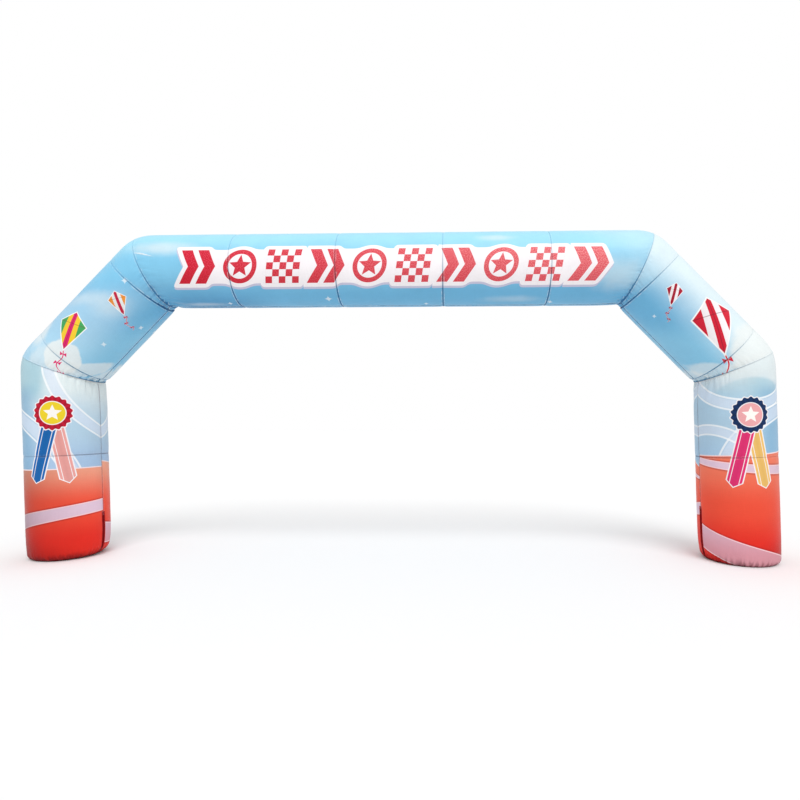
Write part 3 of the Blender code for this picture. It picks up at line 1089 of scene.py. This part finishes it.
def sky_print(board, painted_glare):
    """Blue sky with cloud puffs and sparkles, paler towards the top and both outer sides: part print, part
    painted light.
    """
    tree = board.tree
    x, z, _ = separated(board)
    haze = (noise(board, 1.1, 3.0, 0.55) - 0.5) * 0.35
    hazy_z = z + haze
    deep = x.rise(-1.4, -2.4) * (1.0 - x.rise(-2.7, -3.2)) * z.rise(3.55, 3.20)
    # Painted light: paler towards the upper outer sides, and painted glare turning it white up and to +X.
    pale = ((z - x) * math.sqrt(0.5) + haze * 0.6).rise(4.45, 4.95) * z.rise(3.70, 3.25)
    bright = ((z + x) * math.sqrt(0.5) + haze * 0.6).rise(GLARE_FROM, GLARE_FROM + 0.62)
    # Darker low on the tube and paler high on it: part the print's gradient, part painted shade below and
    # highlight above.
    colour = layered(
        ink(140, 204, 236),
        (ink(114, 186, 226), hazy_z.rise(2.75, 3.20)),
        (ink(134, 204, 238), hazy_z.rise(3.40, 3.75)),
        (ink(164, 226, 248), hazy_z.rise(3.80, 4.20)),
        (ink(84, 156, 202), deep),
        (ink(206, 232, 246), pale * 0.45),
        (ink(230, 244, 248), bright * painted_glare),
    )
    for cloud in PUFFS:
        values = zip(("Centre X", "Centre Z", "Half width", "Half height", "Softness"), cloud)
        mask = use_group(tree, puff, {"Board": board, **dict(values)})["Mask"]
        colour = printed(colour, ink(236, 242, 241), mask * cloud.whiteness)
    for glint in SPARKLES:
        values = {"Board": board, **dict(zip(("Centre X", "Centre Z", "Size"), glint))}
        colour = printed(colour, ink(240, 248, 252), use_group(tree, sparkle, values)["Mask"] * 0.7)
    return colour


RED, WHITE, CRIMSON = ink(214, 24, 52), ink(250, 244, 246), ink(176, 22, 50)
Kite = namedtuple("Kite", "x z height turn first second third")
KITES = {
    "left": (
        Kite(-4.12, 3.02, 0.50, -0.35, ink(226, 32, 110), ink(248, 206, 48), ink(66, 168, 92)),
        Kite(-3.52, 3.36, 0.30, 0.25, ink(206, 34, 70), ink(236, 240, 238), ink(240, 150, 60)),
    ),
    "right": (
        Kite(4.02, 3.06, 0.72, 0.30, RED, WHITE, RED),
        Kite(3.52, 3.42, 0.27, -0.2, CRIMSON, WHITE, CRIMSON),
    ),
}
RIM_TINT = {"left": 0.0, "right": 0.85}  # how blue the outermost part of each brace is


def brace_print(board, side):
    x, z, _ = separated(board)
    brace = braces[side]
    x, z = x - brace.start.x, z - brace.start.z
    inward = x * brace.inward.x + z * brace.inward.z
    from_knee = x * brace.along.x + z * brace.along.z
    rim = inward.rise(TUBE_RADIUS * -0.95, TUBE_RADIUS * -1.45) * from_knee.rise(0.15, 0.75)
    colour = printed(sky_print(board, 0.92), ink(140, 204, 230), rim * RIM_TINT[side])
    for one in KITES[side]:
        values = {
            "Under": colour,
            "Board": board,
            "Centre X": one.x,
            "Centre Z": one.z,
            "Height": one.height,
            "Cosine": math.cos(one.turn),
            "Sine": math.sin(one.turn),
            "First": one.first,
            "Second": one.second,
            "Third": one.third,
        }
        colour = use_group(board.tree, kite, values)["Color"]
    return {"Print": colour}


SKY_FINISH = Finish(0.22, 0.95, (0.08, 0.28, 0.44))
for side in SIDES:
    brace = braces[side]
    towards_beam = beam.along * SIDES[side]
    brace_length = (corners[side] - knees[side]).length
    knee_half = legs[side].along.angle(brace.along) / 2
    corner_half = brace.along.angle(towards_beam) / 2
    knee_cut = mitre_cut(brace, knees[side], legs[side].along, brace.along, KNEE_EDGE)
    lower_cut = ring_cut(TUBE_RADIUS * math.tan(knee_half) + GUSSET_INNER)
    upper_cut = ring_cut(brace_length - TUBE_RADIUS * math.tan(corner_half) - GUSSET_INNER)
    corner_cut = mitre_cut(brace, corners[side], brace.along, towards_beam, CORNER_EDGE)
    cloth = cloth_material(f"brace cloth {side}", SKY_FINISH, brace_print, side)
    sew(f"knee_gusset_{side}", brace, knee_cut, lower_cut, cloth)
    sew(f"brace_{side}", brace, lower_cut, upper_cut, cloth)
    sew(f"corner_gusset_{side}", brace, upper_cut, corner_cut, cloth)


# ---- Beam ------------------------------------------------------------------------------------------
# Five panels of coated polyester sewn end to end with ring seams, and to the wedges at both corners with
# slanting seams. A row of race motifs is printed on the sky along the front, and mirrored along the back.

BEAM_PANEL = 1.365  # the length of each of the three middle panels

# The beam's front carries a row of slanted race motifs in white outlines that run together: chevrons, a star
# and a chequered block.
MOTIFS = 10
MOTIF_PITCH = 0.552
MOTIF_HALF_HEIGHT = 0.215
MOTIF_Z = 3.792
MOTIF_SLANT = 0.16
OUTLINE = 0.052
OUTLINE_SHADOW = 0.030
OUTLINE_BAR = 0.215  # half the height of the white that joins the outlines
ROUNDING = 0.07  # of the outlines' corners
CHEVRON_LEAN = 0.55
CHEVRON_HALF_GAP = 0.106  # from a chevron's middle to its two strokes
CHEVRON_HALF_STROKE = 0.070
CHEVRON_SQUARE = 0.88  # what a width across the motif is, square to a leaning stroke
CHEQUERS = 2.5  # squares in the block's half height


def motif_shapes(slanted, z):
    """The distances to the motif at a place, and to its white outline."""
    half = MOTIF_HALF_HEIGHT
    first = -(MOTIFS - 1) / 2.0 * MOTIF_PITCH
    number = ((slanted - first) / MOTIF_PITCH + 0.5).math("FLOOR")
    number = number.math("MAXIMUM", 0.0).math("MINIMUM", MOTIFS - 1.0)
    kind = number.math("FLOORED_MODULO", 3.0)
    x = slanted - first - number * MOTIF_PITCH
    over = abs(z) - half
    folded = x + abs(z) * CHEVRON_LEAN - 0.06
    strokes = (abs(abs(folded) - CHEVRON_HALF_GAP) - CHEVRON_HALF_STROKE) * CHEVRON_SQUARE
    whole = (abs(folded) - (CHEVRON_HALF_GAP + CHEVRON_HALF_STROKE)) * CHEVRON_SQUARE
    hoop = abs(ring_of(x, z, half * 0.86)) - half * 0.14
    cell = half / CHEQUERS
    odd = ((x / cell + 0.5).math("FLOOR") + (z / cell + 0.5).math("FLOOR")).math("FLOORED_MODULO", 2.0)
    block = block_of(x, z, half, half)
    shapes = (
        (strokes.math("MAXIMUM", over), whole.math("SMOOTH_MAX", over, ROUNDING)),
        (star_of(x, z, half * 0.68).math("MINIMUM", hoop), ring_of(x, z, half)),
        (block.math("MAXIMUM", odd - 0.5), (abs(x) - half).math("SMOOTH_MAX", over, ROUNDING)),
    )
    motif, outline = 0.0, 0.0
    for which, (red, white) in enumerate(shapes):
        chosen = kind.math("COMPARE", float(which), 0.1)
        motif, outline = red * chosen + motif, white * chosen + outline
    bar = block_of(slanted, z, -first, OUTLINE_BAR)
    return motif, (outline - OUTLINE).math("SMOOTH_MIN", bar, ROUNDING)


def beam_print(board):
    board_x, board_z, _ = separated(board)
    z = board_z - MOTIF_Z
    slanted = board_x - z * MOTIF_SLANT
    motif, outline = motif_shapes(slanted, z)
    shadow = motif_shapes(slanted, z + OUTLINE_SHADOW)[1]
    pink = board_x.rise(-2.6, 3.2, "LINEAR")
    deep = printed(ink(204, 2, 34), ink(230, 84, 96), pink)
    bright = printed(ink(236, 58, 88), ink(252, 164, 164), pink)
    specks = noise(board, 85.0, 2.0, 0.6).rise(0.44, 0.60)
    low = (z * -1.0).rise(-0.1, MOTIF_HALF_HEIGHT)
    colour = layered(
        sky_print(board, 0.30),
        (ink(206, 204, 226), on_shape(shadow)),
        (ink(255, 250, 253), on_shape(outline)),
        (printed(deep, bright, specks * (1.0 - low * 0.6)), on_shape(motif)),
    )
    return {"Print": colour}


beam_cloth = cloth_material("beam cloth", SKY_FINISH, beam_print)
beam_length = (corners["right"] - corners["left"]).length
beam_cuts = [
    mitre_cut(beam, corners["left"], braces["left"].along, beam.along, CORNER_EDGE),
    *(ring_cut(beam_length / 2 + (k - 1.5) * BEAM_PANEL) for k in range(4)),
    mitre_cut(beam, corners["right"], beam.along, -braces["right"].along, CORNER_EDGE),
]
# One crease stands up on the first panel's front, beside the corner seam.
CREASE = {
    "Crease angle": math.pi * 1.5 - 0.21,
    "Crease place": 0.11,
    "Crease length": 0.17,
    "Crease slant": 0.27,
    "Crease height": 0.014,
}
for number, (start, end) in enumerate(zip(beam_cuts, beam_cuts[1:]), 1):
    sew(f"beam_{number}", beam, start, end, beam_cloth, CREASE if number == 1 else None)


# ---- Seam thread -----------------------------------------------------------------------------------
# Every seam is lockstitched in pale bonded thread, with one row of stitches along the edge of each panel.

STITCH = {"Marked only": True, "Pitch": 0.010, "Along": 0.0034, "Across": 0.0007, "Thickness": 0.0007}


def thread_material():
    """Twisted polyester thread, paler on its crowns and a little soiled."""
    material, tree, shader = new_material("seam thread")
    place = own_place(tree)
    twist = noise(place, 900.0, 1.0)
    soiled = noise(place, 7.0, 3.0, 0.6)
    colour = printed(ink(206, 216, 222), ink(120, 136, 146), (1.0 - twist) * 0.5 + soiled * 0.3)
    surface(shader, colour, 0.5 + twist * 0.2, twist * 0.0002)
    return material


seam_thread = thread_material()


def stitch(name, nodes):
    """The stitches of several panels as one piece."""
    joined = bmesh.new()
    for node in nodes:
        seams = new_thing("stitches", panels[node].data.copy())
        stitches = grow_on(seams, rods, {**STITCH, "Material": seam_thread})
        joined.from_mesh(stitches.data)
        bpy.data.objects.remove(stitches)
    piece = new_thing(name)
    joined.to_mesh(piece.data)
    joined.free()
    piece.data.materials.append(seam_thread)
    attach(piece, "root")


for side in SIDES:
    stitch(f"thread_{side}", [node for node in panels if node.endswith(side)])
stitch("thread_beam", [node for node in panels if node.startswith("beam")])


# ---- Floor, light and camera -----------------------------------------------------------------------
# A plain pale floor under an even white sky, with one broad soft light from above the front. The camera
# stands in front of the arch, a little to +X of its middle, at the height of a person's eyes.


def seen_by_camera(tree):
    """1 where the camera looks straight at a thing, and 0 where its light falls on another."""
    return Wire(tree.nodes.new("ShaderNodeLightPath").outputs["Is Camera Ray"])


AMBIENT = 0.75  # how much of the sky's full white lights the arch
studio = bpy.data.worlds.new("studio")
bpy.context.scene.world = studio
studio.use_nodes = True
background = studio.node_tree.nodes["Background"]
plug(seen_by_camera(studio.node_tree) * (1.0 - AMBIENT) + AMBIENT, background.inputs["Strength"])
background.inputs["Color"].default_value = (1.0, 1.0, 1.0, 1.0)
bpy.context.scene.view_settings.view_transform = "Standard"

FLOOR_RADIUS = 300.0
FLOOR_SEEN, FLOOR_LIT = (0.97, 0.97, 0.97, 1.0), (0.80, 0.80, 0.80, 1.0)
floor_mesh = bpy.data.meshes.new("floor")
floor_corners = [(FLOOR_RADIUS * x, FLOOR_RADIUS * y, 0.0) for x, y in ((-1, -1), (1, -1), (1, 1), (-1, 1))]
floor_mesh.from_pydata(floor_corners, [], [(0, 1, 2, 3)])
floor_material, floor_tree, floor_shader = new_material("floor")
plug(printed(FLOOR_LIT, FLOOR_SEEN, seen_by_camera(floor_tree)), floor_shader.inputs["Base Color"])
floor_shader.inputs["Roughness"].default_value = 0.9
floor_mesh.materials.append(floor_material)
new_thing("floor", floor_mesh)

sun = bpy.data.lights.new("sun", "SUN")
sun.energy = 1.25
sun.angle = math.radians(35)
new_thing("sun", sun).rotation_euler = (math.radians(38), 0.0, math.radians(14))

CAMERA_PLACE = (0.762, -7.004, 1.741)
CAMERA_TURN = 0.0285  # to the left of straight ahead
camera = bpy.data.cameras.new("camera")
camera.lens = 23.4
camera.sensor_width = 36.0
camera.shift_x = -0.0464
camera.shift_y = 0.0345
camera_thing = new_thing("camera", camera)
camera_thing.location = CAMERA_PLACE
camera_thing.rotation_euler = (math.pi / 2, 0.0, CAMERA_TURN)
bpy.context.scene.camera = camera_thing
